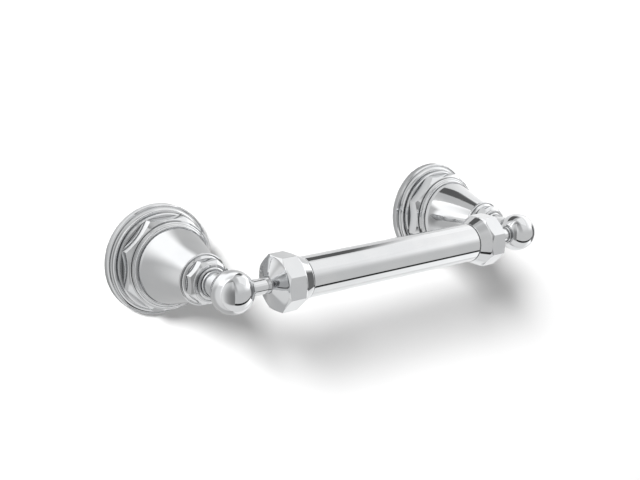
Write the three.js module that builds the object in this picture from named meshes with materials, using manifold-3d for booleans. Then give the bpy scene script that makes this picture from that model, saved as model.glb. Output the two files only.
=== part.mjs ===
// A wall-mounted toilet paper holder: two turned posts carry a roller with one sprung spindle.
// Millimetres. X runs along the roller and +Z is up. The wall is the plane y = 0 and the holder
// stands out from it towards -Y. The origin is on the wall, midway between the two posts and
// level with the roller's axis.

import * as THREE from 'three';
import { mergeVertices } from 'three/addons/utils/BufferGeometryUtils.js';
import Module from 'manifold-3d';

const wasm = await Module();
wasm.setup();

// Driving dimensions. On a post, depths are distances from the wall.
const POST_SPACING = 181.8;
const ROLLER_DEPTH = 70.5;
const SEAM = 0.2;
const FACETS = 32;
const SMALL_FACETS = 16;

const BRACKET = {
  radius: 20, thickness: 2, bossRadius: 12, bossBore: 7.2, bossDepth: 13,
  grooveDepth: 11.7, grooveHalf: 2.2, grooveRadius: 10.6, slotHalf: 2.4, slotLength: 8, slotOffset: 14.4,
};
const FLANGE = {
  radius: 27.7, rimDepth: 3.4, edgeRadius: 26.85, edgeDepth: 4, stepRadius: 24.1, shoulderDepth: 5.6,
  stepEdge: 0.4, depth: 8.2, wall: 2, rimWall: 2.5,
};
const BASE_OCTAGON = {
  acrossFlats: 44.6, from: 8.2, to: 15.3, pocketDepth: 13.3, pocketRadius: 12.4,
  rimRadius: 24.1, rimDepth: 13.2, faceRadius: 22.2,
};
const CONE = {
  from: 15.3, ringRadius: 21.2, ringDepth: 15.9, stepRadius: 19.7, stepDepth: 17.8,
  baseRadius: 18.5, baseDepth: 20, tipRadius: 10.7, to: 43.9,
};
const COLLAR = { radius: 12.45, from: 43.9, to: 46.9, bead: 0.75, frontRadius: 11.5 };
const SMALL_OCTAGON = {
  acrossFlats: 20, from: 46.9, flatTo: 51.6, cornerRadius: 10.8, chamferDepth: 50.9,
  ringRadius: 9.2, ringDepth: 52.6, stepRadius: 7.55, stepDepth: 54, to: 54.2,
};
const BALL = {
  radius: 10, neckRadius: 6.2, from: 54.2, arcSteps: 14, spotRadius: 5.5,
  socketRadius: 4.55, socketFloor: 1.6,
};
const BUSH = { radius: 4.45, bore: 3.85, proud: 1.2, floorGap: 0.3 };
const BOLT = {
  headRadius: 5, headHeight: 4.2, shankRadius: 3, hole: 3.3, end: 60, keyAcross: 5, keyDepth: 2.4,
};
const GRUB_SCREW = {
  radius: 1.9, hole: 2.1, tip: 12.4, end: 20.4, coneLength: 1.2, keyAcross: 2, keyDepth: 2.2,
};

// On the roller, distances run from its middle outwards along its axis.
const TUBE = { radius: 9.84, wall: 1.1, halfLength: 53 };
const CAP = {
  plugRadius: 8.5, plugFrom: 45, lipRadius: 10.6, lipTo: 54.6, flareRadius: 11.9, flareTo: 59.2,
  acrossFlats: 25.6, cornerRadius: 13.85, shoulderRadius: 12.6, flatFrom: 59.8, flatTo: 68,
  rimRadius: 12.4, rimAt: 69, crownRadius: 8, crownAt: 70.1, noseRadius: 4.4, noseAt: 72.3,
};
const SPINDLE = {
  radius: 3.75, bore: 3.85, end: 88.4, endChamfer: 0.7, headRadius: 6.6, headThickness: 2,
  tailRadius: 3, tailEnd: 27,
};
const SPRING = { coilRadius: 4.6, wireRadius: 0.55, turns: 11, from: -8, stepsPerTurn: 12, wireSides: 6 };
const SPRING_SEAT = { radius: 8.5, thickness: 3, noseRadius: 3.4, noseLength: 5 };

const FINISH = {
  chrome: { color: 0xd6d9dc, roughness: 0.06, metalness: 1 },
  steel: { color: 0xa7a9a8, roughness: 0.38, metalness: 1 },
  blackSteel: { color: 0x2b2c2e, roughness: 0.5, metalness: 1 },
  nylon: { color: 0xe4e2da, roughness: 0.45, metalness: 0 },
};

// A mesh in its own material, named for the piece it is.
function piece(name, geometry, finish) {
  const mesh = new THREE.Mesh(geometry, new THREE.MeshStandardMaterial(FINISH[finish]));
  mesh.name = name;
  return mesh;
}

// Turned about +Y from [radius, height] points that start and end on the axis.
function turned(points, facets = FACETS) {
  return new THREE.LatheGeometry(points.map(([r, y]) => new THREE.Vector2(r, y)), facets);
}

// Turned about +Y from [radius, height] points that go round a ring's section.
function turnedRing(points, facets = FACETS) {
  return turned([...points, points[0]], facets);
}

// Points on a circle in the turning plane, from one angle to another, both from the radius axis.
function arc(centreHeight, radius, from, to, steps) {
  return Array.from({ length: steps + 1 }, (_, i) => {
    const angle = from + ((to - from) * i) / steps;
    return [radius * Math.cos(angle), centreHeight + radius * Math.sin(angle)];
  });
}

// A regular prism along +Y whose first flat faces +X.
function prism(sides, acrossFlats, from, to) {
  const corner = acrossFlats / 2 / Math.cos(Math.PI / sides);
  const outline = Array.from({ length: sides }, (_, i) => {
    const angle = ((i + 0.5) * 2 * Math.PI) / sides;
    return new THREE.Vector2(corner * Math.cos(angle), corner * Math.sin(angle));
  });
  const options = { depth: to - from, bevelEnabled: false };
  const geometry = new THREE.ExtrudeGeometry(new THREE.Shape(outline), options);
  return geometry.rotateX(-Math.PI / 2).translate(0, from, 0);
}

// A round pin along +Y.
function pin(radius, from, to, facets = FACETS) {
  return turned([[0, from], [radius, from], [radius, to], [0, to]], facets);
}

// A slot's cutter along +Y, long in Z.
function slotCutter(half, length, depth) {
  const straight = length / 2 - half;
  const outline = new THREE.Shape();
  outline.absarc(0, straight, half, 0, Math.PI);
  outline.absarc(0, -straight, half, Math.PI, 2 * Math.PI);
  const options = { depth: depth + 2, bevelEnabled: false, curveSegments: 6 };
  return new THREE.ExtrudeGeometry(outline, options).rotateX(-Math.PI / 2).translate(0, -1, 0);
}

function solid(geometry) {
  const bare = geometry.clone();
  bare.deleteAttribute('normal');
  bare.deleteAttribute('uv');
  const merged = mergeVertices(bare, 1e-5);
  const index = merged.index.array;
  const triangles = [];
  for (let i = 0; i < index.length; i += 3) {
    const [a, b, c] = [index[i], index[i + 1], index[i + 2]];
    if (a !== b && b !== c && c !== a) triangles.push(a, b, c);
  }
  const vertProperties = new Float32Array(merged.attributes.position.array);
  const triVerts = new Uint32Array(triangles);
  return new wasm.Manifold(new wasm.Mesh({ numProp: 3, vertProperties, triVerts }));
}

function surface(manifold) {
  const { vertProperties, triVerts } = manifold.getMesh();
  const geometry = new THREE.BufferGeometry();
  geometry.setAttribute('position', new THREE.BufferAttribute(vertProperties, 3));
  geometry.setIndex(new THREE.BufferAttribute(triVerts, 1));
  geometry.computeVertexNormals();
  return geometry;
}

function cut(geometry, ...cutters) {
  return surface(cutters.reduce((body, cutter) => body.subtract(solid(cutter)), solid(geometry)));
}

function common(first, second) {
  return surface(solid(first).intersect(solid(second)));
}

// Post pieces, standing along +Y from the wall. The underside is +Z here.

function wallBracket() {
  const b = BRACKET;
  const body = turnedRing([
    [b.bossBore, 0],
    [b.radius, 0],
    [b.radius, b.thickness],
    [b.bossRadius, b.thickness],
    [b.bossRadius, b.grooveDepth - b.grooveHalf],
    [b.grooveRadius, b.grooveDepth],
    [b.bossRadius, b.bossDepth],
    [b.bossBore, b.bossDepth],
  ]);
  const slots = [0, 1, 2, 3].map((quarter) => {
    const slot = slotCutter(b.slotHalf, b.slotLength, b.thickness);
    return slot.translate(0, 0, b.slotOffset).rotateY((quarter * Math.PI) / 2);
  });
  return cut(body, ...slots);
}

function flange() {
  const f = FLANGE;
  const innerStep = f.stepRadius - f.rimWall;
  const innerRim = f.radius - f.rimWall;
  return turnedRing([
    [BASE_OCTAGON.pocketRadius, f.depth - f.wall],
    [innerStep, f.depth - f.wall],
    [innerStep, f.rimDepth - 0.4],
    [innerRim, f.rimDepth - 0.4],
    [innerRim, 0],
    [f.radius, 0],
    [f.radius, f.rimDepth],
    [f.edgeRadius, f.edgeDepth],
    [f.stepRadius, f.shoulderDepth],
    [f.stepRadius, f.depth - f.stepEdge],
    [f.stepRadius - f.stepEdge, f.depth],
    [BASE_OCTAGON.pocketRadius, f.depth],
  ]);
}

function baseOctagon() {
  const o = BASE_OCTAGON;
  const turnedBody = turnedRing([
    [o.pocketRadius, o.from + SEAM],
    [o.rimRadius, o.from + SEAM],
    [o.rimRadius, o.rimDepth],
    [o.faceRadius, o.to],
    [BOLT.hole, o.to],
    [BOLT.hole, o.pocketDepth],
    [o.pocketRadius, o.pocketDepth],
  ]);
  const grubHole = pin(GRUB_SCREW.hole, 0, o.acrossFlats, SMALL_FACETS);
  grubHole.rotateX(Math.PI / 2).translate(0, BRACKET.grooveDepth, 0);
  return cut(common(turnedBody, prism(8, o.acrossFlats, 0, o.to + 1)), grubHole);
}

function coneColumn() {
  const c = CONE;
  return turnedRing([
    [BOLT.hole, c.from + SEAM],
    [c.ringRadius, c.from + SEAM],
    [c.ringRadius, c.ringDepth],
    [c.stepRadius, c.stepDepth],
    [c.baseRadius, c.baseDepth],
    [c.tipRadius, c.to],
    [BOLT.hole, c.to],
  ]);
}

function collarRing() {
  const c = COLLAR;
  const from = c.from + SEAM;
  return turnedRing([
    [BOLT.hole, from],
    [c.radius - c.bead, from],
    [c.radius, from + c.bead],
    [c.radius, from + 2 * c.bead],
    [c.frontRadius, c.to],
    [BOLT.hole, c.to],
  ]);
}

function smallOctagon() {
  const o = SMALL_OCTAGON;
  const turnedBody = turnedRing([
    [BOLT.hole, o.from + SEAM],
    [o.cornerRadius, o.from + SEAM],
    [o.cornerRadius, o.chamferDepth],
    [o.ringRadius, o.flatTo],
    [o.ringRadius, o.ringDepth],
    [o.stepRadius + 0.3, o.ringDepth + 0.4],
    [o.stepRadius, o.stepDepth],
    [BALL.neckRadius, o.to],
    [BOLT.hole, o.to],
  ]);
  return common(turnedBody, prism(8, o.acrossFlats, 0, o.to + 1));
}

// The ball and its neck in one piece, drilled up the middle for the bolt and from the side for the bush.
function ballHead(inward) {
  const b = BALL;
  const shoulder = -Math.acos(b.neckRadius / b.radius);
  const body = turned([
    [0, BOLT.end + 2],
    [BOLT.hole, BOLT.end + 1],
    [BOLT.hole, b.from + SEAM],
    [b.neckRadius, b.from + SEAM],
    ...arc(ROLLER_DEPTH, b.radius, shoulder, Math.PI / 2, b.arcSteps),
  ]);
  const spot = Math.sqrt(b.radius ** 2 - b.spotRadius ** 2);
  const spotCutter = new THREE.BoxGeometry(b.radius, 2 * b.radius, 2 * b.radius);
  spotCutter.translate(inward * (spot + b.radius / 2), ROLLER_DEPTH, 0);
  const socket = pin(b.socketRadius, b.socketFloor, 2 * b.radius);
  socket.rotateZ((-inward * Math.PI) / 2).translate(0, ROLLER_DEPTH, 0);
  return cut(body, spotCutter, socket);
}

// A plain bush in the ball's socket, standing a little proud of the ball.
function bush(inward) {
  const mouth = Math.sqrt(BALL.radius ** 2 - BALL.spotRadius ** 2) + BUSH.proud;
  const floor = BALL.socketFloor + BUSH.floorGap;
  const sleeve = turnedRing([
    [BUSH.bore, floor],
    [BUSH.radius, floor],
    [BUSH.radius, mouth],
    [BUSH.bore, mouth],
  ]);
  return sleeve.rotateZ((-inward * Math.PI) / 2).translate(0, ROLLER_DEPTH, 0);
}

// The long bolt that clamps a post together: a socket head in the base, a shank up into the ball's neck.
function postBolt() {
  const b = BOLT;
  const seat = BASE_OCTAGON.pocketDepth - SEAM;
  const body = turned([
    [0, seat - b.headHeight],
    [b.headRadius, seat - b.headHeight],
    [b.headRadius, seat],
    [b.shankRadius, seat],
    [b.shankRadius, b.end],
    [0, b.end],
  ], SMALL_FACETS);
  return cut(body, prism(6, b.keyAcross, 0, seat - b.headHeight + b.keyDepth));
}

// The grub screw in the base's lower flat, whose cone point sits in the bracket's groove.
function grubScrew() {
  const g = GRUB_SCREW;
  const body = turned([
    [0, g.tip],
    [g.radius, g.tip + g.coneLength],
    [g.radius, g.end],
    [0, g.end],
  ], SMALL_FACETS);
  const key = prism(6, g.keyAcross, g.end - g.keyDepth, g.end + 1);
  return cut(body, key).rotateX(Math.PI / 2).translate(0, BRACKET.grooveDepth, 0);
}

function post(side, inward) {
  const group = new THREE.Group();
  group.add(
    piece(`${side}_wall_bracket`, wallBracket(), 'steel'),
    piece(`${side}_flange`, flange(), 'chrome'),
    piece(`${side}_base_octagon`, baseOctagon(), 'chrome'),
    piece(`${side}_cone_column`, coneColumn(), 'chrome'),
    piece(`${side}_collar_ring`, collarRing(), 'chrome'),
    piece(`${side}_small_octagon`, smallOctagon(), 'chrome'),
    piece(`${side}_ball_head`, ballHead(inward), 'chrome'),
    piece(`${side}_spindle_bush`, bush(inward), 'chrome'),
    piece(`${side}_post_bolt`, postBolt(), 'steel'),
    piece(`${side}_grub_screw`, grubScrew(), 'blackSteel'),
  );
  group.position.x = (-inward * POST_SPACING) / 2;
  group.rotation.x = Math.PI;
  return group;
}

// Roller pieces, along +Y from the roller's middle.

function rollerTube() {
  const t = TUBE;
  return turnedRing([
    [t.radius - t.wall, -t.halfLength],
    [t.radius, -t.halfLength],
    [t.radius, t.halfLength],
    [t.radius - t.wall, t.halfLength],
  ]);
}

// An end cap: a plug in the tube, a flare, the octagon, and a shallow cone down to the spindle.
function endCap() {
  const c = CAP;
  const turnedBody = turnedRing([
    [SPINDLE.bore, c.plugFrom],
    [c.plugRadius, c.plugFrom],
    [c.plugRadius, TUBE.halfLength + SEAM],
    [c.lipRadius, TUBE.halfLength + SEAM],
    [c.lipRadius, c.lipTo],
    [c.flareRadius, c.flareTo],
    [c.shoulderRadius, c.flareTo + 0.1],
    [c.cornerRadius, c.flatFrom],
    [c.cornerRadius, c.flatTo],
    [c.rimRadius, c.rimAt],
    [c.crownRadius, c.crownAt],
    [c.noseRadius, c.noseAt],
    [SPINDLE.bore, c.noseAt],
  ]);
  return common(turnedBody, prism(8, c.acrossFlats, 0, c.noseAt + 1));
}

// A spindle with a head inside the cap; the sprung one has a tail that guides the spring.
function spindle(tailEnd) {
  const s = SPINDLE;
  const head = CAP.plugFrom - SEAM;
  const start = tailEnd || head - s.headThickness;
  return turned([
    [0, start],
    ...(tailEnd ? [[s.tailRadius, start], [s.tailRadius, head - s.headThickness]] : []),
    [s.headRadius, head - s.headThickness],
    [s.headRadius, head],
    [s.radius, head],
    [s.radius, s.end - s.endChamfer],
    [s.radius - s.endChamfer, s.end],
    [0, s.end],
  ]);
}

// An open coil spring from its seat to the sprung spindle's head.
function coilSpring() {
  const s = SPRING;
  const from = s.from + s.wireRadius + SEAM;
  const to = CAP.plugFrom - SEAM - SPINDLE.headThickness - s.wireRadius - SEAM;
  const coil = new THREE.Curve();
  coil.getPoint = (t) => {
    const angle = 2 * Math.PI * s.turns * t;
    const height = from + (to - from) * t;
    return new THREE.Vector3(s.coilRadius * Math.cos(angle), height, s.coilRadius * Math.sin(angle));
  };
  const wire = new THREE.Shape(Array.from({ length: s.wireSides }, (_, i) => {
    const angle = (i * 2 * Math.PI) / s.wireSides;
    return new THREE.Vector2(s.wireRadius * Math.cos(angle), s.wireRadius * Math.sin(angle));
  }));
  const options = { extrudePath: coil, steps: s.turns * s.stepsPerTurn, bevelEnabled: false };
  return new THREE.ExtrudeGeometry(wire, options);
}

// The disc fixed in the tube that the spring pushes against, with a nose inside the spring.
function springSeat() {
  const s = SPRING_SEAT;
  const face = SPRING.from;
  return turned([
    [0, face - s.thickness],
    [s.radius, face - s.thickness],
    [s.radius, face],
    [s.noseRadius, face],
    [s.noseRadius, face + s.noseLength],
    [0, face + s.noseLength],
  ]);
}

function roller() {
  const right = new THREE.Group();
  right.add(
    piece('roller_tube', rollerTube(), 'chrome'),
    piece('right_end_cap', endCap(), 'chrome'),
    piece('sprung_spindle', spindle(SPINDLE.tailEnd), 'chrome'),
    piece('spindle_spring', coilSpring(), 'steel'),
    piece('spring_seat', springSeat(), 'nylon'),
  );
  right.rotation.z = -Math.PI / 2;
  const left = new THREE.Group();
  left.add(
    piece('left_end_cap', endCap(), 'chrome'),
    piece('fixed_spindle', spindle(0), 'chrome'),
  );
  left.rotation.z = Math.PI / 2;
  const group = new THREE.Group();
  group.add(left, right);
  group.position.y = -ROLLER_DEPTH;
  return group;
}

const holder = new THREE.Group();
holder.add(post('left', 1), post('right', -1), roller());

export default holder;
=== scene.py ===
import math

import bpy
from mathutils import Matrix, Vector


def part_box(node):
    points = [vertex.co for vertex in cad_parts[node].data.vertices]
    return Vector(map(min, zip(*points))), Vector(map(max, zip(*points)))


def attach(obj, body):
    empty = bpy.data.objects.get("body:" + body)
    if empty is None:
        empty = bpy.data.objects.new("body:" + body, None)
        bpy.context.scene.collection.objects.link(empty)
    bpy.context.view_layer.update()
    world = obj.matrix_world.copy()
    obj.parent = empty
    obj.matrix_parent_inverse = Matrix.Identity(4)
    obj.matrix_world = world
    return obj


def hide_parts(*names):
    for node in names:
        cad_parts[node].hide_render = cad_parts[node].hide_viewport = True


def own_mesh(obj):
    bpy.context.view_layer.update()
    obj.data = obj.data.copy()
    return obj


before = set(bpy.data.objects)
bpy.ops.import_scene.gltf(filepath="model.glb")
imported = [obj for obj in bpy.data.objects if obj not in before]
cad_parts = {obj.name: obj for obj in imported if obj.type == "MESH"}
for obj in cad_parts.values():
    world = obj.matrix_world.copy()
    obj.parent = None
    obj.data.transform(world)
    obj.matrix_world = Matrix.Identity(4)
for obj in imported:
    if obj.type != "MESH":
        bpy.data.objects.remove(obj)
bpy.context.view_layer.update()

# Looks for a wall-mounted toilet paper holder in polished chrome. Metres, in the CAD's own frame:
# X runs along the roller, the wall is the plane y = 0 and the holder stands out towards -Y.

MM = 0.001
TURN_STEPS = 144
FILLET_STEPS = 5
COVE_STEPS = 6
SUPPORT = 0.03 * MM

# Camera: the photograph's viewing angle, with the wall upright behind the holder.
CAMERA_AT = (-0.3142, -0.4307, 0.1329)
CAMERA_AZIMUTH = -36.99
CAMERA_ELEVATION = 14.49
CAMERA_LENS = 56.62

# Studio: the wall's half size, the light's place, size and power, and the levels of white.
STAGE_HALF = 3.0
KEY_TOWARDS = (-0.66, -0.55, 0.545)
KEY_DISTANCE = 3.2
KEY_SIZE = 0.95
KEY_POWER = 196
FILL_LEVEL = 0.39
SURROUND_LEVEL = 1.02
SURROUND_RADIUS = 8
TENT_RADIUS = 7.5
WHITE = (1, 1, 1, 1)


# ---------------------------------------------------------------- the frame's own sizes

def span(node):
    """Lowest and highest corner of a CAD node, in metres."""
    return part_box(node)


def post_axis(side):
    low, high = span(f"{side}_flange")
    return (low.x + high.x) / 2


def depths(node):
    """Nearest and furthest distance of a post's node from the wall."""
    low, high = span(node)
    return -high.y, -low.y


def radius(node):
    """Half of a node's height: its radius, or half across its flats."""
    low, high = span(node)
    return (high.z - low.z) / 2


ROLLER_LOW, ROLLER_HIGH = span("roller_tube")
ROLLER_DEPTH = -(ROLLER_LOW.y + ROLLER_HIGH.y) / 2
BOLT_HOLE = 3.3 * MM
BASE_POCKET = 12.4 * MM


# ---------------------------------------------------------------- turned and faceted meshes

def fillet(before, corner, after, size):
    """Points of an arc that rounds one corner of an outline, with a support point on each side."""
    towards = (before - corner).normalized()
    onwards = (after - corner).normalized()
    angle = towards.angle(onwards, math.pi)
    if size <= 0 or angle > math.radians(178):
        return [corner]
    room = 0.47 * min((before - corner).length, (after - corner).length)
    reach = min(size / math.tan(angle / 2), room)
    arc_radius = reach * math.tan(angle / 2)
    centre = corner + (towards + onwards).normalized() * (arc_radius / math.sin(angle / 2))
    start = corner + towards * reach
    turn = math.pi - angle
    sign = 1 if towards.cross(onwards) < 0 else -1
    points = []
    for step in range(FILLET_STEPS + 1):
        swing = sign * turn * step / FILLET_STEPS
        arm = start - centre
        points.append(centre + Vector((
            arm.x * math.cos(swing) - arm.y * math.sin(swing),
            arm.x * math.sin(swing) + arm.y * math.cos(swing))))
    support = min(SUPPORT, 0.05 * room)
    return [points[0] + towards * support, *points, points[-1] + onwards * support]


def rounded(corners, closed=True):
    """An outline in (radius, height) with every (radius, height, fillet) corner rounded."""
    places = [Vector((r, h)) for r, h, _ in corners]
    count = len(corners)
    outline = []
    for i, (_, _, size) in enumerate(corners):
        if not closed and i in (0, count - 1):
            outline.append(places[i])
            continue
        outline.extend(fillet(places[i - 1], places[i], places[(i + 1) % count], size))
    return outline


def arc_corners(centre, size, start, end, steps):
    """Unrounded corners along a circle in the (radius, height) plane."""
    corners = []
    for i in range(steps + 1):
        angle = start + (end - start) * i / steps
        corners.append((size * math.cos(angle), centre + size * math.sin(angle), 0))
    return corners


def round_samples(steps=TURN_STEPS):
    """Evenly spaced (angle, limit) samples of a plain turned surface."""
    return [(2 * math.pi * i / steps, None) for i in range(steps)]


def flat_samples(half_across, corner, flat_steps=10, sides=8):
    """(angle, limit) samples round a prism with rounded corners, closer together at the corners."""
    half_side = math.pi / sides
    inner = half_across - corner
    reach = inner * math.tan(half_side)
    edge = [(half_across, reach * i / flat_steps) for i in range(flat_steps)]
    edge.append((half_across, reach - SUPPORT))
    for i in range(FILLET_STEPS + 1):
        lean = half_side * i / FILLET_STEPS
        edge.append((inner + corner * math.cos(lean), reach + corner * math.sin(lean)))
    polar = [(math.atan2(v, u), math.hypot(u, v)) for u, v in edge]
    sector = [(-a, r) for a, r in reversed(polar[1:])] + polar[:-1]
    return [(2 * half_side * k + a, r) for k in range(sides) for a, r in sector]


def about_post(x):
    """Places a point turned about a post's axis."""
    return lambda r, angle, h: Vector((x + r * math.cos(angle), -h, r * math.sin(angle)))


def about_roller(direction, start=0):
    """Places a point turned about the roller's axis, measured along it from start."""
    def place(r, angle, h):
        return Vector((start + direction * h, -ROLLER_DEPTH + r * math.cos(angle), r * math.sin(angle)))

    return place


def below_post(x, depth):
    """Places a point turned about an upright axis under a post, measured downwards."""
    return lambda r, angle, h: Vector((x + r * math.cos(angle), -depth + r * math.sin(angle), -h))


def spun(samples, outline_at, place, closed=True):
    """Vertices and faces of a surface whose outline, at each (angle, limit), is outline_at(limit)."""
    rows = [rounded(outline_at(limit), closed) for _, limit in samples]
    length = len(rows[0])
    vertices = []
    index = []
    for (angle, _), row in zip(samples, rows):
        line = []
        for k, point in enumerate(row):
            on_axis = not closed and k in (0, length - 1)
            if on_axis and index:
                line.append(index[0][k])
                continue
            line.append(len(vertices))
            vertices.append(place(point.x, angle, point.y))
        index.append(line)
    faces = []
    last = length if closed else length - 1
    for i, line in enumerate(index):
        following = index[(i + 1) % len(index)]
        for k in range(last):
            after = (k + 1) % length
            corners = [line[k], following[k], following[after], line[after]]
            faces.append(list(dict.fromkeys(corners)))
    return vertices, faces


def mesh_object(name, *shells):
    """One object from closed shells of (vertices, faces), smooth shaded, with its faces pointing out."""
    vertices = []
    faces = []
    for shell_vertices, shell_faces in shells:
        start = len(vertices)
        vertices.extend(shell_vertices)
        faces.extend([[start + i for i in face] for face in shell_faces])
    mesh = bpy.data.meshes.new(name)
    mesh.from_pydata(vertices, [], faces)
    mesh.validate()
    mesh.shade_smooth()
    made = bpy.data.objects.new(name, mesh)
    bpy.context.scene.collection.objects.link(made)
    bpy.context.view_layer.objects.active = made
    made.select_set(True)
    bpy.ops.object.mode_set(mode="EDIT")
    bpy.ops.mesh.select_all(action="SELECT")
    bpy.ops.mesh.normals_make_consistent(inside=False)
    bpy.ops.object.mode_set(mode="OBJECT")
    made.select_set(False)
    return made


def turned(name, corners, place, closed=True):
    """A plain turned piece from (radius, height, fillet) corners."""
    return mesh_object(name, spun(round_samples(), lambda _: corners, place, closed))


def finish_piece(made, body, node, material):
    """Gives a piece its finish, puts it on its body and lets it stand for its CAD node."""
    made.data.materials.append(material)
    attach(made, body)
    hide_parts(node)
    return made


# ---------------------------------------------------------------- materials

class Nodes:
    """A small helper that adds and joins shader nodes in a new material."""

    def __init__(self, name):
        self.material = bpy.data.materials.new(name)
        self.material.use_nodes = True
        self.tree = self.material.node_tree
        self.tree.nodes.clear()
        self.output = self.tree.nodes.new("ShaderNodeOutputMaterial")

    def add(self, kind, inputs=None, **settings):
        node = self.tree.nodes.new(kind)
        for key, value in settings.items():
            setattr(node, key, value)
        for key, value in (inputs or {}).items():
            if hasattr(value, "is_output"):
                self.tree.links.new(value, node.inputs[key])
            else:
                node.inputs[key].default_value = value
        return node

    def noise(self, scale, detail=3.0, roughness=0.5, stretch=None):
        place = self.add("ShaderNodeTexCoord").outputs["Object"]
        if stretch:
            place = self.add("ShaderNodeMapping", {"Vector": place, "Scale": stretch}).outputs["Vector"]
        inputs = {"Vector": place, "Scale": scale, "Detail": detail, "Roughness": roughness}
        return self.add("ShaderNodeTexNoise", inputs).outputs["Fac"]

    def between(self, factor, low, high):
        """Maps the middle of a noise to values from low to high."""
        inputs = {"Value": factor, "From Min": 0.3, "From Max": 0.7, "To Min": low, "To Max": high}
        return self.add("ShaderNodeMapRange", inputs).outputs["Result"]

    def tint(self, factor, first, second):
        node = self.add("ShaderNodeMix", data_type="RGBA")
        self.tree.links.new(factor, node.inputs["Factor"])
        node.inputs[6].default_value = (*first, 1)
        node.inputs[7].default_value = (*second, 1)
        return node.outputs[2]

    def coordinates(self):
        return self.add("ShaderNodeSeparateXYZ", {"Vector": self.add("ShaderNodeTexCoord").outputs["Object"]})

    def distance(self, point):
        """How far the surface is from a point."""
        inputs = {0: self.add("ShaderNodeTexCoord").outputs["Object"], 1: point}
        return self.add("ShaderNodeVectorMath", inputs, operation="DISTANCE").outputs["Value"]

    def ramp(self, value, start, end, low=0.0, high=1.0):
        """A soft step from low to high as the value goes from start to end."""
        inputs = {"Value": value, "From Min": start, "From Max": end, "To Min": low, "To Max": high}
        return self.add("ShaderNodeMapRange", inputs, interpolation_type="SMOOTHSTEP").outputs["Result"]

    def join(self, operation, first, second):
        return self.add("ShaderNodeMath", {0: first, 1: second}, operation=operation).outputs[0]

    def bump(self, height, strength, distance):
        inputs = {"Height": height, "Strength": strength, "Distance": distance}
        return self.add("ShaderNodeBump", inputs).outputs["Normal"]

    def light(self, level):
        """A shader that gives off even white light."""
        return self.add("ShaderNodeEmission", {"Color": WHITE, "Strength": level}).outputs[0]

    def clear(self):
        return self.add("ShaderNodeBsdfTransparent").outputs[0]

    def blend(self, share, first, second):
        """Mixes two shaders, from all first at a share of 0 to all second at 1."""
        return self.add("ShaderNodeMixShader", {0: share, 1: first, 2: second}).outputs[0]

    def finish(self, shader):
        self.tree.links.new(shader, self.output.inputs["Surface"])
        return self.material

    def surface(self, inputs):
        return self.finish(self.add("ShaderNodeBsdfPrincipled", inputs).outputs["BSDF"])


def chrome():
    """Mirror-polished chrome plate: a faint polish haze, smears and the softest waviness."""
    n = Nodes("polished_chrome")
    haze = n.noise(70, 4)
    smear = n.noise(240, 5, 0.6, (1, 2.6, 0.8))
    wave = n.noise(130, 1)
    grain = n.noise(5200, 2)
    rough = n.join("ADD", n.between(haze, 0.025, 0.05), n.between(smear, 0.0, 0.015))
    height = n.join("ADD", wave, n.between(grain, 0.0, 0.02))
    return n.surface({
        "Base Color": n.tint(n.between(haze, 0, 1), (0.60, 0.61, 0.62), (0.64, 0.645, 0.65)),
        "Metallic": 1.0,
        "Roughness": rough,
        "Normal": n.bump(height, 0.06, 0.00002),
    })


def plated_steel():
    """Zinc-plated steel: patchy spangle and fine draw marks."""
    n = Nodes("plated_steel")
    patch = n.noise(420, 3)
    marks = n.noise(1500, 2, 0.5, (1, 9, 1))
    return n.surface({
        "Base Color": n.tint(n.between(patch, 0, 1), (0.50, 0.51, 0.50), (0.66, 0.65, 0.61)),
        "Metallic": 1.0,
        "Roughness": n.between(patch, 0.3, 0.48),
        "Normal": n.bump(marks, 0.25, 0.00004),
    })


def black_steel():
    """Black oxide on the grub screws."""
    n = Nodes("black_steel")
    patch = n.noise(1600, 3)
    return n.surface({
        "Base Color": n.tint(n.between(patch, 0, 1), (0.02, 0.02, 0.022), (0.06, 0.06, 0.065)),
        "Metallic": 0.8,
        "Roughness": n.between(patch, 0.35, 0.55),
        "Normal": n.bump(patch, 0.2, 0.00003),
    })


def nylon():
    """Moulded white nylon of the spring's seat."""
    n = Nodes("white_nylon")
    mottle = n.noise(300, 3)
    grain = n.noise(3500, 2)
    return n.surface({
        "Base Color": n.tint(n.between(mottle, 0, 1), (0.80, 0.79, 0.75), (0.88, 0.87, 0.84)),
        "Roughness": n.between(mottle, 0.38, 0.5),
        "Normal": n.bump(grain, 0.15, 0.00004),
    })


CHROME = chrome()
STEEL = plated_steel()
BLACK = black_steel()
NYLON = nylon()


# ---------------------------------------------------------------- the posts

def wall_bracket(side):
    node = f"{side}_wall_bracket"
    back, front = depths(node)
    outer = radius(node)
    plate = back + 2 * MM
    groove = back + 11.7 * MM
    bore, boss, waist = 7.2 * MM, 12 * MM, 10.6 * MM
    edge = 0.3 * MM
    corners = [
        (bore, back, edge), (outer, back, edge), (outer, plate, edge), (boss, plate, 0.5 * MM),
        (boss, groove - 2.2 * MM, edge), (waist, groove, edge), (boss, front, edge), (bore, front, edge)]
    made = turned(f"{side}_bracket", corners, about_post(post_axis(side)))
    cut_slots(made, post_axis(side), plate)
    return finish_piece(made, "holder", node, STEEL)


def cut_slots(plate, x, thickness):
    """Four screw slots through a bracket's plate, each long towards the middle."""
    half, straight, offset, count = 2.4 * MM, 1.6 * MM, 14.4 * MM, 40
    for quarter in range(4):
        vertices = []
        turn = quarter * math.pi / 2
        for depth in (-thickness, 2 * thickness):
            for i in range(count):
                angle = 2 * math.pi * i / count
                along = offset + half * math.sin(angle) + (straight if angle < math.pi else -straight)
                across = half * math.cos(angle)
                vertices.append(Vector((
                    x + across * math.cos(turn) - along * math.sin(turn),
                    -depth,
                    across * math.sin(turn) + along * math.cos(turn))))
        faces = [[i, (i + 1) % count, count + (i + 1) % count, count + i] for i in range(count)]
        faces += [list(range(count)), list(range(count, 2 * count))]
        cutter = mesh_object("slot_cutter", (vertices, faces))
        carve(plate, cutter)


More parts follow.
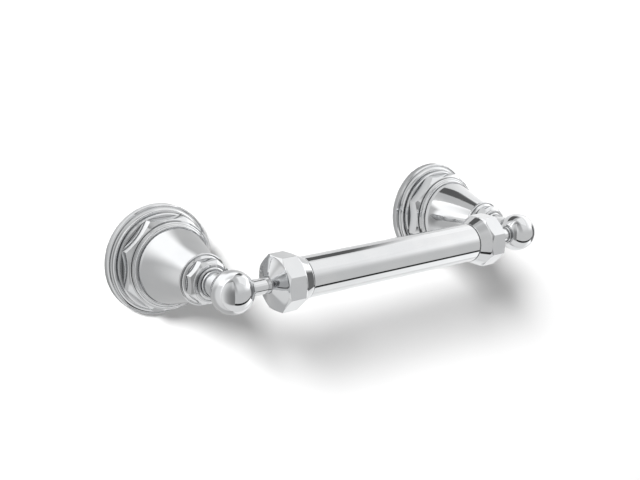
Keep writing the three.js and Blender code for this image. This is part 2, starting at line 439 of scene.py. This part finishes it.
def carve(made, cutter):
    """Cuts one object out of another, deletes the cutter and keeps rounded edges smooth."""
    modifier = made.modifiers.new("cut", "BOOLEAN")
    modifier.operation = "DIFFERENCE"
    modifier.solver = "EXACT"
    modifier.object = cutter
    bpy.context.view_layer.objects.active = made
    bpy.ops.object.modifier_apply(modifier=modifier.name)
    bpy.data.objects.remove(cutter)
    made.data.shade_smooth()
    made.data.set_sharp_from_angle(angle=math.radians(35))


def cove(wall_radius, floor, size):
    """Unrounded corners of a quarter-round hollow, from a flat floor up to an upright wall inside it."""
    corners = []
    for i in range(COVE_STEPS + 1):
        angle = math.pi / 2 * i / COVE_STEPS
        corners.append((wall_radius + size * (1 - math.sin(angle)), floor + size * (1 - math.cos(angle)), 0))
    return corners


def groove(start, top, width, deep):
    """Corners of a fine turned groove that is cut straight back into a face, from its outer side inwards."""
    edge, floor = 0.05 * MM, top - deep
    return [(start, floor, edge), (start - width, floor, edge), (start - width - 0.02 * MM, top, edge)]


def flange(side):
    node = f"{side}_flange"
    back, front = depths(node)
    outer = radius(node)
    step = outer - 3.6 * MM
    inner_rim, inner_step = outer - 2.5 * MM, step - 2.5 * MM
    lip, ledge = step + 0.7 * MM, back + 4.0 * MM
    corners = [
        (BASE_POCKET, front - 2 * MM, 0.2 * MM), (inner_step, front - 2 * MM, 0.6 * MM),
        (inner_step, back + 3 * MM, 0.3 * MM), (inner_rim, back + 3 * MM, 0.5 * MM),
        (inner_rim, back, 0.15 * MM), (outer, back, 0.15 * MM), (outer, back + 3.2 * MM, 0.25 * MM),
        (outer - 0.75 * MM, ledge, 0.12 * MM), *groove(outer - 0.8 * MM, ledge, 0.45 * MM, 0.7 * MM),
        *cove(lip, ledge + 0.02 * MM, 1.55 * MM), (lip, ledge + 1.7 * MM, 0.1 * MM),
        (step + 0.5 * MM, ledge + 1.85 * MM, 0.06 * MM), (step + 0.48 * MM, ledge + 1 * MM, 0.05 * MM),
        (step, ledge + 1 * MM, 0.05 * MM), (step, front - 0.4 * MM, 0.1 * MM),
        (step - 0.6 * MM, front, 0.1 * MM), (BASE_POCKET, front, 0.2 * MM)]
    made = turned(f"{side}_flange_shell", corners, about_post(post_axis(side)))
    return finish_piece(made, "holder", node, CHROME)


def base_octagon(side):
    """The octagonal plate, whose corners a steep cone trims down like a nut's."""
    node = f"{side}_base_octagon"
    back, front = depths(node)
    half = radius(node)
    face = half - 0.35 * MM
    trim_from, trim_to = front - 2.1 * MM, front - 0.2 * MM
    corner = half + 1.84 * MM
    slope = (trim_to - trim_from) / (corner - half)
    pocket_end = front - 2 * MM

    def outline(limit):
        crease = trim_from + (corner - limit) * slope
        return [
            (BASE_POCKET, back, 0.2 * MM), (limit - 0.7 * MM, back, 0.05 * MM),
            (limit - 0.7 * MM, back + 0.25 * MM, 0.05 * MM), (limit, back + 0.25 * MM, 0.1 * MM),
            (limit, crease, 0.12 * MM), (face, front, 0.25 * MM), (BOLT_HOLE, front, 0.1 * MM),
            (BOLT_HOLE, pocket_end, 0.1 * MM), (BASE_POCKET, pocket_end, 0.2 * MM)]

    shell = spun(flat_samples(half, 0.35 * MM), outline, about_post(post_axis(side)))
    made = mesh_object(f"{side}_octagon_plate", shell)
    drill_grub_hole(made, side)
    return finish_piece(made, "holder", node, CHROME)


def drill_grub_hole(made, side):
    """The radial hole in the octagon's lower flat that the grub screw runs in."""
    x = post_axis(side)
    low, high = span(f"{side}_grub_screw")
    depth = -(low.y + high.y) / 2
    size = (high.x - low.x) / 2 + 0.2 * MM
    top, bottom = 8 * MM, 40 * MM
    corners = [(0, top, 0), (size, top, 0), (size, bottom, 0), (0, bottom, 0)]
    shell = spun(round_samples(32), lambda _: corners, below_post(x, depth), False)
    carve(made, mesh_object("hole_cutter", shell))


def cone_column(side):
    node = f"{side}_cone_column"
    back, front = depths(node)
    outer = radius(node)
    corners = [
        (BOLT_HOLE, back, 0.1 * MM), (outer - 0.7 * MM, back, 0.05 * MM),
        (outer - 0.7 * MM, back + 0.2 * MM, 0.05 * MM), (outer, back + 0.2 * MM, 0.05 * MM),
        (outer, back + 0.42 * MM, 0.08 * MM), (outer - 0.5 * MM, back + 0.8 * MM, 0.12 * MM),
        *cove(outer - 1.35 * MM, back + 0.82 * MM, 0.7 * MM), (outer - 1.35 * MM, back + 2.1 * MM, 0.12 * MM),
        (outer - 1.85 * MM, back + 2.4 * MM, 0.1 * MM),
        *groove(outer - 1.9 * MM, back + 2.6 * MM, 0.45 * MM, 0.9 * MM),
        (outer - 2.65 * MM, back + 4.5 * MM, 1.5 * MM),
        (10.7 * MM, front, 0.15 * MM), (BOLT_HOLE, front, 0.1 * MM)]
    made = turned(f"{side}_cone", corners, about_post(post_axis(side)))
    return finish_piece(made, "holder", node, CHROME)


def collar_ring(side):
    node = f"{side}_collar_ring"
    back, front = depths(node)
    outer = radius(node)
    corners = [
        (BOLT_HOLE, back, 0.1 * MM), (outer - 0.5 * MM, back, 0.25 * MM), (outer, back + 0.6 * MM, 0.35 * MM),
        (outer - 0.15 * MM, back + 1.2 * MM, 0.3 * MM), (outer - 0.7 * MM, back + 1.5 * MM, 0.1 * MM),
        *groove(outer - 0.75 * MM, back + 1.7 * MM, 0.4 * MM, 0.8 * MM),
        (outer - 1.5 * MM, back + 2.1 * MM, 0.15 * MM), (outer - 2.2 * MM, front - 0.1 * MM, 0.1 * MM),
        (BOLT_HOLE, front, 0.1 * MM)]
    made = turned(f"{side}_collar", corners, about_post(post_axis(side)))
    return finish_piece(made, "holder", node, CHROME)


def small_octagon(side):
    """The small octagon with two turned steps in front of it."""
    node = f"{side}_small_octagon"
    back, front = depths(node)
    half = radius(node)
    ring, step = 9.2 * MM, 7.55 * MM
    trim_from, trim_to = back + 4.0 * MM, back + 5.3 * MM
    corner = half + 0.82 * MM
    slope = (trim_to - trim_from) / (corner - ring)

    def outline(limit):
        crease = trim_from + (corner - limit) * slope
        return [
            (BOLT_HOLE, back, 0.1 * MM), (limit, back, 0.15 * MM), (limit, crease, 0.12 * MM),
            (ring, trim_to, 0.1 * MM), (ring, back + 5.75 * MM, 0.15 * MM),
            (ring - 0.4 * MM, back + 6.05 * MM, 0.12 * MM), (step + 0.5 * MM, back + 6.1 * MM, 0.08 * MM),
            (step + 0.48 * MM, back + 5.3 * MM, 0.05 * MM), (step, back + 5.3 * MM, 0.05 * MM),
            (step, back + 6.7 * MM, 0.15 * MM), (step - 0.5 * MM, back + 7.1 * MM, 0.15 * MM),
            (step - 1.2 * MM, front, 0.1 * MM), (BOLT_HOLE, front, 0.1 * MM)]

    shell = spun(flat_samples(half, 0.25 * MM), outline, about_post(post_axis(side)))
    made = mesh_object(f"{side}_octagon_collar", shell)
    return finish_piece(made, "holder", node, CHROME)


def ball_head(side, inward):
    """The ball, turned about the socket's axis, and its neck, turned about the post's."""
    node = f"{side}_ball_head"
    x = post_axis(side)
    back, _ = depths(node)
    size = radius(node)
    spot, socket, floor = 5.5 * MM, 4.55 * MM, 1.6 * MM
    start = math.acos(spot / size)
    mouth = size * math.sin(start)
    ball = [
        (0, floor, 0), (socket, floor, 0.3 * MM), (socket, mouth, 0.12 * MM), (spot, mouth, 0.12 * MM),
        *arc_corners(0, size, start - 0.02, -math.pi / 2, 60)]
    neck = 6.2 * MM
    root = ROLLER_DEPTH - math.sqrt(size ** 2 - neck ** 2)
    neck_corners = [
        (BOLT_HOLE, back, 0.1 * MM), (neck - 0.5 * MM, back, 0.05 * MM),
        (neck - 0.5 * MM, back + 0.3 * MM, 0.05 * MM), (neck + 0.2 * MM, back + 0.3 * MM, 0.1 * MM),
        (neck, back + 1.2 * MM, 1.5 * MM), (neck, root - 0.8 * MM, 1.5 * MM),
        (neck + 0.35 * MM, root + 0.4 * MM, 0), (BOLT_HOLE, root + 1.5 * MM, 0)]
    made = mesh_object(
        f"{side}_ball",
        spun(round_samples(), lambda _: ball, about_roller(inward, x), False),
        spun(round_samples(), lambda _: neck_corners, about_post(x)))
    return finish_piece(made, "holder", node, CHROME)


def spindle_bush(side, inward):
    node = f"{side}_spindle_bush"
    low, high = span(node)
    x = post_axis(side)
    outer = radius(node)
    bore = outer - 0.6 * MM
    inside, outside = sorted((abs(low.x - x), abs(high.x - x)))
    edge = 0.2 * MM
    corners = [(bore, inside, edge), (outer, inside, edge), (outer, outside, edge), (bore, outside, edge)]
    made = turned(f"{side}_bush", corners, about_roller(inward, x))
    return finish_piece(made, "holder", node, CHROME)


def post_bolt(side):
    """A socket-head bolt: the head's plain rim, its hexagon socket and the shank."""
    node = f"{side}_post_bolt"
    back, front = depths(node)
    head = radius(node)
    head_end, shank, key, key_depth = back + 4.2 * MM, 3 * MM, 2.5 * MM, 2.4 * MM

    def outline(limit):
        return [
            (0, back + key_depth, 0), (limit, back + key_depth, 0.05 * MM), (limit, back, 0.1 * MM),
            (head, back, 0.5 * MM), (head, head_end, 0.2 * MM), (shank, head_end, 0.3 * MM),
            (shank, front, 0.5 * MM), (0, front, 0)]

    samples = flat_samples(key, 0.1 * MM, 6, 6)
    made = mesh_object(f"{side}_bolt", spun(samples, outline, about_post(post_axis(side)), False))
    return finish_piece(made, "holder", node, STEEL)


def grub_screw(side):
    """A grub screw standing in the octagon's lower flat, with a hexagon socket and a cone point."""
    node = f"{side}_grub_screw"
    low, high = span(node)
    x = (low.x + high.x) / 2
    depth = -(low.y + high.y) / 2
    outer = (high.x - low.x) / 2
    tip, end = -high.z, -low.z
    key, key_depth = 1.0 * MM, 2.2 * MM

    def outline(limit):
        return [
            (0, end - key_depth, 0), (limit, end - key_depth, 0.03 * MM), (limit, end, 0.05 * MM),
            (outer, end, 0.25 * MM), (outer, tip + 1.2 * MM, 0.1 * MM), (0, tip, 0)]

    shell = spun(flat_samples(key, 0.05 * MM, 4, 6), outline, below_post(x, depth), False)
    made = mesh_object(f"{side}_set_screw", shell)
    return finish_piece(made, "holder", node, BLACK)


def post(side, inward):
    wall_bracket(side)
    flange(side)
    base_octagon(side)
    cone_column(side)
    collar_ring(side)
    small_octagon(side)
    ball_head(side, inward)
    spindle_bush(side, inward)
    post_bolt(side)
    grub_screw(side)


# ---------------------------------------------------------------- the roller

def roller_tube():
    outer = radius("roller_tube")
    inner = outer - 1.1 * MM
    end = ROLLER_HIGH.x
    edge = 0.25 * MM
    corners = [(inner, -end, edge), (outer, -end, edge), (outer, end, edge), (inner, end, edge)]
    made = turned("tube", corners, about_roller(1))
    return finish_piece(made, "roller", "roller_tube", CHROME)


def end_cap(side, direction):
    """An end cap: plug, lip, round flare, octagon with trimmed corners, and a nose down to the spindle."""
    node = f"{side}_end_cap"
    low, high = span(node)
    plug_end, nose = sorted((abs(low.x), abs(high.x)))
    half = radius(node)
    tube_end = ROLLER_HIGH.x + 0.2 * MM
    bore, plug, throat = 3.85 * MM, 8.5 * MM, 3.9 * MM
    lip = radius("roller_tube") + 0.3 * MM
    flare, flare_to = half - 0.15 * MM, nose - 13 * MM
    flat_to, rim, rim_at = nose - 4.3 * MM, half - 0.35 * MM, nose - 3.4 * MM
    corner = half / math.cos(math.pi / 8)
    face, bend, steps = rim - 0.5 * MM, 1.1, 12
    hollow = []
    for i in range(steps + 1):
        share = i / steps
        hollow.append((face - (face - throat) * share, rim_at + (nose - rim_at) * share ** bend, 0))

    def outline(limit):
        trim = (corner - limit) / (corner - half)
        return [
            (bore, plug_end, 0.2 * MM), (plug, plug_end, 0.4 * MM), (plug, tube_end, 0.05 * MM),
            (lip - 0.7 * MM, tube_end, 0.05 * MM), (lip - 0.7 * MM, tube_end + 0.25 * MM, 0.05 * MM),
            (lip - 0.05 * MM, tube_end + 0.3 * MM, 0.08 * MM), (lip, tube_end + 0.6 * MM, 0.1 * MM),
            (flare - 0.1 * MM, flare_to - 0.4 * MM, 0.3 * MM), (flare, flare_to, 0.05 * MM),
            (half - 0.1 * MM, flare_to + 0.02 * MM, 0),
            (limit, flare_to + (0.9 - 0.6 * trim) * MM, 0.12 * MM),
            (limit, flat_to + 0.55 * trim * MM, 0.15 * MM), (rim, rim_at - 0.1 * MM, 0.15 * MM),
            *hollow, (bore, nose, 0.05 * MM)]

    shell = spun(flat_samples(half, 0.3 * MM), outline, about_roller(direction))
    made = mesh_object(f"{side}_cap", shell)
    return finish_piece(made, "roller", node, CHROME)


def spindle(name, node, body, direction, tail):
    """A spindle with a head inside its cap, and behind it a tail that guides the spring on the sprung one."""
    low, high = span(node)
    first, end = sorted((abs(low.x), abs(high.x)))
    head_end = -span("left_end_cap")[1].x - 0.2 * MM
    head_start = head_end - 2 * MM
    head, pin, guide = radius(node), 3.75 * MM, 3 * MM
    rod = [(guide, first, 0.5 * MM), (guide, head_start, 0.3 * MM)] if tail else []
    corners = [
        (0, first, 0), *rod,
        (head, head_start, 0.3 * MM), (head, head_end, 0.3 * MM), (pin, head_end, 0.3 * MM),
        (pin, end - 0.7 * MM, 0.3 * MM), (pin - 0.7 * MM, end, 0.3 * MM), (0, end, 0)]
    made = turned(name, corners, about_roller(direction), False)
    return finish_piece(made, body, node, CHROME)


def spring():
    """An open coil spring with closed ends, made at one fixed length."""
    low, high = span("spindle_spring")
    wire = 0.55 * MM
    coil = radius("spindle_spring") - wire
    turns, steps, sides, close_ends = 11, 36, 12, 0.035
    count = turns * steps
    start, end = low.x + wire, high.x - wire
    vertices = []
    for i in range(count + 1):
        share = i / count
        angle = 2 * math.pi * turns * share
        along = start + (end - start) * (share - close_ends * math.sin(2 * math.pi * share))
        for k in range(sides):
            lean = 2 * math.pi * k / sides
            r = coil + wire * math.cos(lean)
            vertices.append(Vector((
                along + wire * math.sin(lean),
                -ROLLER_DEPTH + r * math.cos(angle),
                r * math.sin(angle))))
    faces = []
    for i in range(count):
        for k in range(sides):
            after = (k + 1) % sides
            faces.append([i * sides + k, (i + 1) * sides + k, (i + 1) * sides + after, i * sides + after])
    faces.append(list(range(sides)))
    faces.append([count * sides + k for k in range(sides)])
    made = mesh_object("coil_spring", (vertices, faces))
    finish_piece(made, "roller", "spindle_spring", STEEL)
    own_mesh(made)
    return made


def spring_seat():
    low, high = span("spring_seat")
    outer = radius("spring_seat")
    face, nose = low.x + 3 * MM, 3.4 * MM
    corners = [
        (0, low.x, 0), (outer, low.x, 0.3 * MM), (outer, face, 0.3 * MM), (nose, face, 0.4 * MM),
        (nose, high.x, 0.6 * MM), (0, high.x, 0)]
    made = turned("spring_cup", corners, about_roller(1), False)
    return finish_piece(made, "roller", "spring_seat", NYLON)


def roller():
    roller_tube()
    end_cap("left", -1)
    end_cap("right", 1)
    spindle("left_spindle", "fixed_spindle", "roller", -1, False)
    spindle("right_spindle", "sprung_spindle", "sprung_pin", 1, True)
    spring()
    spring_seat()


# ---------------------------------------------------------------- camera, wall and studio

def camera():
    data = bpy.data.cameras.new("camera")
    data.lens = CAMERA_LENS
    data.sensor_width = 36
    data.clip_start = 0.01
    made = bpy.data.objects.new("camera", data)
    bpy.context.scene.collection.objects.link(made)
    azimuth, elevation = math.radians(CAMERA_AZIMUTH), math.radians(CAMERA_ELEVATION)
    back = Vector((
        math.sin(azimuth) * math.cos(elevation),
        -math.cos(azimuth) * math.cos(elevation),
        math.sin(elevation)))
    made.location = CAMERA_AT
    made.rotation_euler = (-back).to_track_quat("-Z", "Y").to_euler()
    bpy.context.scene.camera = made


def plane(name, corners, material):
    """A stage quad."""
    mesh = bpy.data.meshes.new(name)
    mesh.from_pydata([Vector(c) for c in corners], [], [(0, 1, 2, 3)])
    mesh.materials.append(material)
    made = bpy.data.objects.new(name, mesh)
    bpy.context.scene.collection.objects.link(made)
    return made


def glow(name, level):
    """A plain light-giving surface."""
    n = Nodes(name)
    return n.finish(n.light(level))


def flag_material(edge):
    """A dark flag that is darkest low down along its right edge and fades out to the left and upwards."""
    n = Nodes("flag_glow")
    parts = n.coordinates()
    x, z = parts.outputs["X"], parts.outputs["Z"]
    sideways = n.ramp(x, -0.80, edge - 0.02)
    upwards = n.join("MINIMUM", n.ramp(z, 0.0, 0.55, 1.0, 0.38), n.ramp(z, -0.42, -0.30, 0.2, 1.0))
    corner = n.join("MULTIPLY", n.ramp(x, -0.32, -0.23, 0.0, 0.5), n.ramp(z, 0.10, 0.30))
    depth = n.join("MULTIPLY", n.join("MULTIPLY", sideways, upwards), n.join("SUBTRACT", 1.0, corner))
    return n.finish(n.light(n.join("SUBTRACT", 1.1, n.join("MULTIPLY", depth, 0.8))))


def soft_card(name, level, fades):
    """A card of even light whose edges fade out; each fade is (axis, clear at, full at)."""
    n = Nodes(name)
    parts = n.coordinates()
    cover = 1.0
    for axis, clear, full in fades:
        cover = n.join("MULTIPLY", cover, n.ramp(parts.outputs[axis], clear, full))
    return n.finish(n.blend(cover, n.clear(), n.light(level)))


def reflected_only(made):
    """A card that lights nothing and is only seen in polished surfaces."""
    made.visible_camera = False
    made.visible_diffuse = False
    made.visible_shadow = False
    made.visible_transmission = False
    return made


def wall_material():
    """Matt white wall that turns into the white surround far off, and is clear from behind."""
    n = Nodes("white_wall")
    behind = n.add("ShaderNodeNewGeometry").outputs["Backfacing"]
    paint = n.add("ShaderNodeBsdfDiffuse", {"Color": (0.88, 0.88, 0.88, 1)}).outputs[0]
    far_off = n.ramp(n.distance((0, 0, 0)), 0.6, 1.4)
    front = n.blend(far_off, paint, n.light(SURROUND_LEVEL))
    return n.finish(n.blend(behind, front, n.clear()))


def mirrored_wall_material():
    """The same wall as the chrome shows it, with painted light and shade: a painted lit patch brightest above
    the left post, painted levels across the rest, painted shade near the flange rims and a painted glow; open
    behind the flanges.
    """
    n = Nodes("mirrored_wall")
    parts = n.coordinates()
    x, z = parts.outputs["X"], parts.outputs["Z"]
    # Painted light: a lit patch high on the left of the reflected wall, cut back near the roller and fading
    # upwards.
    slant = n.join("ADD", z, n.join("MULTIPLY", x, 0.8))
    painted_light_patch = n.join("MULTIPLY", n.ramp(slant, -0.115, -0.045), n.ramp(x, 0.0, 0.03, 0.7, 0.0))
    above = n.join("MULTIPLY", n.ramp(x, -0.095, -0.07), n.ramp(z, 0.07, 0.10, 0.95, 0.0))
    painted_light_patch = n.join("MULTIPLY", painted_light_patch, n.join("SUBTRACT", 1.0, above))
    painted_light_patch = n.join("MULTIPLY", painted_light_patch, n.ramp(z, 0.12, 0.30, 1.0, 0.4))
    # Painted levels: darker left of the middle, lighter again far to the left, low down right of the middle
    # and on the right below about 6 cm.
    middle = n.ramp(x, -0.06, 0.02, 0.50, 0.76)
    far_left = n.ramp(x, -0.21, -0.16, 0.26, 0.0)
    low = n.join("MULTIPLY", n.ramp(x, -0.05, 0.0), n.ramp(z, -0.09, -0.03, 0.25, 0.0))
    right = n.join("MULTIPLY", n.ramp(x, 0.10, 0.14), n.ramp(z, 0.06, 0.10, 0.2, 0.0))
    level = n.join("ADD", n.join("ADD", middle, painted_light_patch), far_left)
    level = n.join("ADD", level, n.join("MAXIMUM", low, right))
    open_wall = 1.0
    # Painted shade: the reflected wall darkens to 0.55 of its level within 3 mm of the left flange's rim and
    # 7 mm of the right one's; open_wall clears it behind the flanges.
    for side, reach in (("left", 3 * MM), ("right", 7 * MM)):
        away = n.distance((post_axis(side), 0, 0))
        rim = radius(f"{side}_flange")
        level = n.join("MULTIPLY", level, n.ramp(away, rim, rim + reach, 0.55, 1.0))
        open_wall = n.join("MULTIPLY", open_wall, n.ramp(away, rim - 1 * MM, rim - 0.5 * MM))
    # The painted levels feed a diffuse paint and a painted glow of their own, which lightens the shadows that
    # the wall shows in the chrome.
    paint = n.add("ShaderNodeBsdfDiffuse", {"Color": n.join("MULTIPLY", level, 0.5)}).outputs[0]
    painted_glow = n.light(n.join("MULTIPLY", level, 0.55))
    front = n.add("ShaderNodeAddShader", {0: paint, 1: painted_glow}).outputs[0]
    return n.finish(n.blend(open_wall, n.clear(), front))


def dark_beyond_material():
    """The unlit room past the wall's edge, fading out along a slant to the right."""
    n = Nodes("dark_beyond_glow")
    parts = n.coordinates()
    slant = n.join("SUBTRACT", parts.outputs["X"], n.join("MULTIPLY", parts.outputs["Z"], 0.625))
    cover = n.ramp(slant, 0.13, 0.04)
    return n.finish(n.blend(cover, n.clear(), n.light(0.15)))


def upright(y, left, right, bottom, top):
    """Corners of a quad that stands parallel to the wall and faces the room."""
    return [(left, y, bottom), (right, y, bottom), (right, y, top), (left, y, top)]


def wall():
    """The wall as the camera sees it and as the chrome shows it with painted light and shade, and the dark
    room past its right edge.
    """
    half = STAGE_HALF
    seen = plane("wall", upright(0.2 * MM, -half, half, -half, half), wall_material())
    seen.visible_glossy = False
    seen.visible_shadow = False
    # The wall that only the chrome shows carries painted light, painted shade and a painted glow.
    material = mirrored_wall_material()
    for name, left, right, top in (("left", -half, 0, half), ("right", 0, half, 0.077)):
        reflected_only(plane(f"mirrored_wall_{name}", upright(0.4 * MM, left, right, -half, top), material))
    far = 0.1
    corners = [(0.015, far, 0.10), (0.25, far, 0.10), (0.56, far, 0.60), (0.015, far, 0.50)]
    reflected_only(plane("dark_beyond", corners, dark_beyond_material()))


def tent_material(size):
    """The light tent in the chrome: dimmer overhead and high in front on the left, brightest on the right."""
    n = Nodes("tent_glow")
    parts = n.coordinates()
    x, y, z = parts.outputs["X"], parts.outputs["Y"], parts.outputs["Z"]
    overhead = n.ramp(z, 0.70 * size, 0.97 * size, 1.05, 0.72)
    sideways = n.ramp(x, 0.45 * size, 0.95 * size, 0.0, 0.8)
    band = n.join("MULTIPLY", n.ramp(x, -0.60 * size, -0.35 * size), n.ramp(x, 0.0, -0.15 * size))
    in_front = n.join("MULTIPLY", n.ramp(y, 0.0, -0.25 * size), n.ramp(z, 0.0, 0.15 * size))
    dim = n.join("MULTIPLY", n.join("MULTIPLY", band, in_front), 0.42)
    return n.finish(n.light(n.join("SUBTRACT", n.join("ADD", overhead, sideways), dim)))


def shell_round(name, size, material):
    """A stage sphere round everything."""
    bpy.ops.mesh.primitive_uv_sphere_add(radius=size, segments=48, ring_count=24)
    made = bpy.context.object
    made.name = name
    made.data.materials.append(material)
    return made


def surrounds():
    """A white surround that only the camera sees, and the light tent that only the chrome shows."""
    dome = shell_round("surround", SURROUND_RADIUS, glow("surround_glow", SURROUND_LEVEL))
    dome.visible_diffuse = False
    dome.visible_glossy = False
    dome.visible_shadow = False
    reflected_only(shell_round("tent", TENT_RADIUS, tent_material(TENT_RADIUS)))


def cards():
    """The cards in the chrome: a grey front panel, a dark gap below it, a flag each side and a soft top."""
    front, left, right = -0.355, -0.194, 0.9
    low, high, floor = -0.252, 0.20, -0.41
    panel = upright(front, left, right, low, high)
    reflected_only(plane("front_panel", panel, soft_card("panel_glow", 0.79, [("Z", high, 0.0)])))
    gap = upright(front, left - 0.03, right, floor, low)
    gap_fades = [("Z", floor, -0.34), ("X", left - 0.03, left + 0.02)]
    reflected_only(plane("front_gap", gap, soft_card("gap_glow", 0.02, gap_fades)))
    flag = [(-0.80, -0.134, -0.42), (left, front, -0.42), (left, front, 0.95), (-0.80, -0.134, 0.95)]
    reflected_only(plane("left_flag", flag, flag_material(left)))
    side = [(right, front, -0.5), (right, -0.003, -0.5), (right, -0.003, 0.26), (right, front, 0.26)]
    reflected_only(plane("right_flag", side, soft_card("side_glow", 0.20, [("Z", 0.26, 0.12)])))
    top = [(0.35, -0.5, 0.25), (0.35, -0.02, 0.25), (0.05, -0.02, 0.60), (0.05, -0.5, 0.60)]
    top_fades = [("X", 0.05, 0.14), ("Z", 0.25, 0.32), ("Y", -0.5, -0.35)]
    reflected_only(plane("right_top", top, soft_card("top_glow", 1.3, top_fades)))


def key_light():
    """A soft box high on the left, in front of the wall."""
    towards = Vector(KEY_TOWARDS).normalized()
    data = bpy.data.lights.new("key", "AREA")
    data.shape = "DISK"
    data.size = KEY_SIZE
    data.energy = KEY_POWER
    made = bpy.data.objects.new("key", data)
    bpy.context.scene.collection.objects.link(made)
    made.location = towards * KEY_DISTANCE
    made.rotation_euler = towards.to_track_quat("Z", "Y").to_euler()
    made.visible_glossy = False


def surroundings():
    """Even light from everywhere, which fills the shadows."""
    world = bpy.data.worlds.new("studio")
    world.use_nodes = True
    background = world.node_tree.nodes["Background"]
    background.inputs["Color"].default_value = WHITE
    background.inputs["Strength"].default_value = FILL_LEVEL
    bpy.context.scene.world = world
    bpy.context.scene.view_settings.view_transform = "Standard"


camera()
post("left", 1)
post("right", -1)
roller()
wall()
surrounds()
cards()
key_light()
surroundings()
